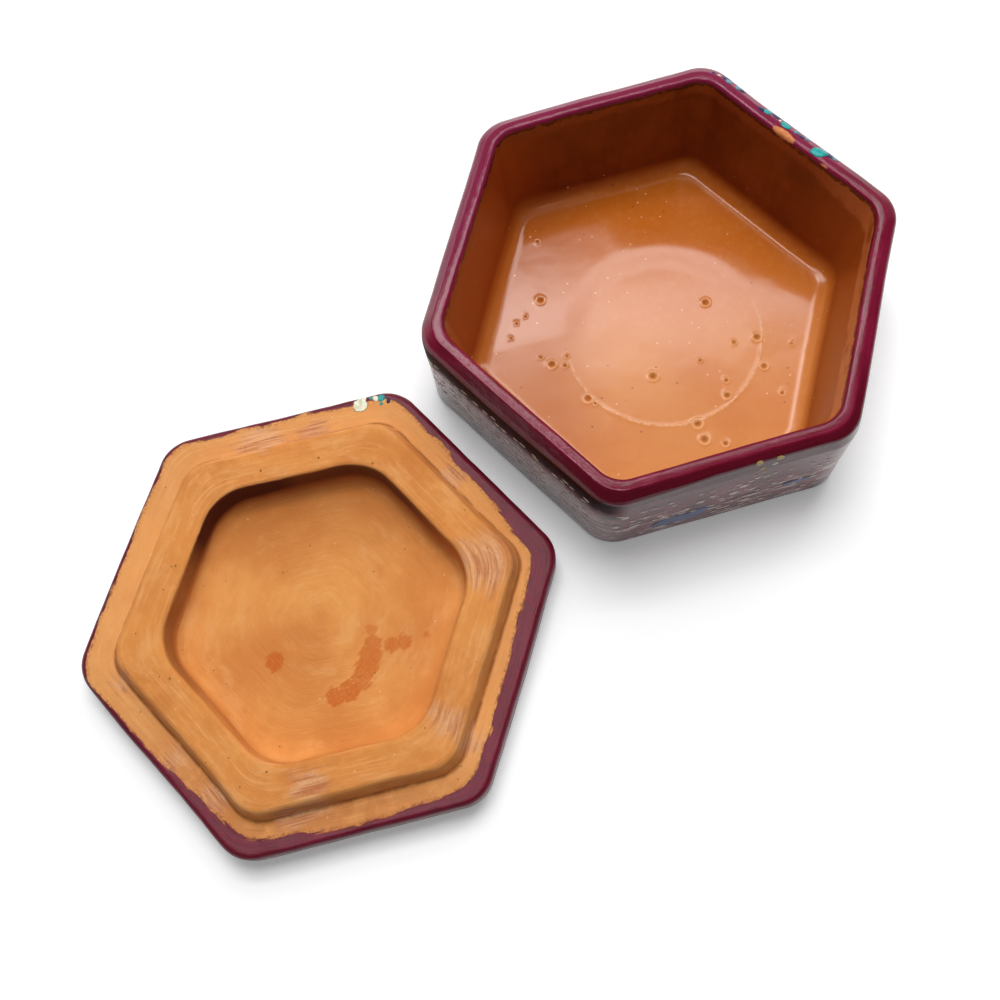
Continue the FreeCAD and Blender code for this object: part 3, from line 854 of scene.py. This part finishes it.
# smudges of thin paint left by fingers on the ring and the ledge: x, y, height and radius
smudges = any_of(
    (distance_to(position, x, y, z) + (smears - 0.5) * 14 + (streaks - 0.5) * 5.0).fade(r, r * 0.35)
    for x, y, z, r in [
        (-38.0, 17.0, 9, 4.0), (31.0, -16.5, 12, 7.5), (4.0, -35.6, 12, 5.0), (4.5, -41.5, 8, 4.5),
        (-25.3, -26.5, 10, 5.5), (-31, -27, 8, 5.0), (-40.5, -13.5, 8, 4.5), (-41.5, -2.5, 8, 4.0),
        (14.5, 37.8, 8, 6.0), (26.0, 31.0, 8, 4.0), (40, 2, 8, 3.5)])
smudge_paint = streaks.fade(0.38, 0.58).blend(paint(178, 108, 78), paint(226, 174, 132))
ochre = (smudges * (0.40 + fine.fade(0.36, 0.62) * 0.45)).blend(ochre, smudge_paint)

# pinholes in the ring, and crumbs strewn in the clay
pinholes = any_of(
    (distance_to(position, x, y, z) + (fine - 0.5) * 0.5).fade(r + 0.05, r - 0.2) for x, y, z, r in [
        (-15.3, 27.3, 12, 0.32), (-20.4, 25.1, 12, 0.29), (10.8, 30.7, 12, 0.29), (21.6, 24.3, 11.6, 0.36),
        (25.5, 20.9, 11.4, 0.40), (29.0, 15.3, 12, 0.36), (-30.9, 9.8, 12, 0.36), (-26.9, -16.3, 12, 0.29),
        (-28.4, -18.0, 12, 0.32)])
crumb, own = scattered(position, 0.5)
dark_crumb = crumb.fade(0.13, 0.06) * own.fade(0.86, 0.88)
pale_crumb = crumb.fade(0.12, 0.06) * own.fade(0.14, 0.12)
ochre = (pinholes.over(dark_crumb * 0.6) * 0.85).blend(ochre, paint(70, 30, 16))
ochre = (pale_crumb * 0.5).blend(ochre, paint(244, 206, 160))

# the burgundy film ends in a ragged thin edge and is finely cracked; low on the side, near the table, it is
# painted darker as painted shade
wavy = blotches(position, 0.16, 2.0, 0.5, 11.0)
painted_in = (wavy - 0.5) * 2.2 + (coarse - 0.5) * 0.7 + (streaks - 0.5) * 1.8 - film
painted = painted_in.fade(-0.12, 0.12)
thin_edge = (painted_in.fade(-1.0, 0.2) - painted) * fine.fade(0.42, 0.6)
colour = (thin_edge * 0.8).blend(ochre, paint(128, 58, 48))
colour = painted.blend(colour, (film.fade(-14, -7) * 0.5).blend(burgundy, paint(84, 6, 24)))
cracks = abs(coarse - 0.5).fade(0.018, 0.006) * painted
colour = (cracks * 0.4).blend(colour, paint(40, 6, 18))
low_side_shade = axes[2].fade(7.2, 3.0) * painted
colour = (low_side_shade * 0.85).blend(colour, paint(62, 6, 20))

rough = 0.82 + (fine - 0.5) * 0.2 - painted * 0.42 - stains * 0.1
clay_relief = ((streaks - 0.5) * 0.17 + (fine - 0.5) * 0.09 + (grain - 0.5) * 0.04
               + turning * in_hollow * 0.015)
film_relief = (streaks - 0.5) * 0.10 + (fine - 0.5) * 0.04 + 0.12
surface = clay_surface(nodes, colour, rough, (1 - painted) * clay_relief + painted * film_relief)
nodes.add("ShaderNodeOutputMaterial", {}, {"Surface": surface})
lid.data.materials.append(bare_clay)
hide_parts("lid")
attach(lid, "lid")


# Dabs of the same paints on the lid: a few that ran over its edge at the far corner, and rings of
# dots on its top, which lies face down here and shows when the lid is on the box.
def on_lid(x, y, z):
    """A place given from the lid's own middle, with the lid's own turn."""
    return tuple(lid_middle + Matrix.Rotation(lid_turn, 3, "Z") @ Vector((x, y, z)))


lid_paints = {"navy": dab_paints["navy"], "cream": paint(246, 243, 214),
              "yellow": dab_paints["yellow"], "turquoise": dab_paints["turquoise"]}
lid_spots = {name: [] for name in lid_paints}
lid_spots["navy"] += [(*on_lid(41.6, 25.2, 7.6), 0.45, 1.5, 40)]
lid_spots["cream"] += [
    (*on_lid(36.5, 28.7, 8.0), 1.6, 1.1, 20), (*on_lid(38.0, 29.9, 8.0), 1.0, 1.0, 0),
    (*on_lid(39.9, 27.6, 7.8), 0.7, 1.2, 60)]
lid_spots["turquoise"] += [
    (*on_lid(40.9, 26.8, 7.7), 0.8, 1.2, 0), (*on_lid(39.2, 28.4, 7.9), 0.45, 1.0, 0),
    (*on_lid(40.0, 25.8, 8.0), 0.4, 1.0, 0)]
BELOW_TOP = -1.0
top_rings = [  # radius, how many dots, their size, their colours in turn, and how long they are
    (0.01, 1, 2.2, ["turquoise"], 1.0), (5.2, 8, 0.8, ["cream"], 1.0),
    (9.6, 12, 1.0, ["navy", "turquoise"], 1.8), (14.0, 24, 0.6, ["yellow"], 1.0),
    (18.6, 18, 1.2, ["cream", "turquoise", "navy"], 1.5), (23.2, 36, 0.55, ["cream"], 1.0),
    (27.6, 24, 1.1, ["navy", "yellow"], 1.4), (32.6, 48, 0.55, ["turquoise", "cream"], 1.0)]
for ring, count, radius, names, longer in top_rings:
    for k in range(count):
        # the two rings of 24 are set half a step round, to fall between their neighbours
        turn = 2 * math.pi * (k + 0.5 * (count == 24)) / count
        spot = on_lid(ring * math.cos(turn), ring * math.sin(turn), BELOW_TOP)
        lid_spots[names[k % len(names)]].append((*spot, radius, longer, -math.degrees(turn)))
for name, spots in lid_spots.items():
    dabs = lay_dabs("lid_dabs_" + name, lid, lid_paints[name], 0.13, spots)
    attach(dabs, "lid")
bpy.data.objects.remove(one_dab)
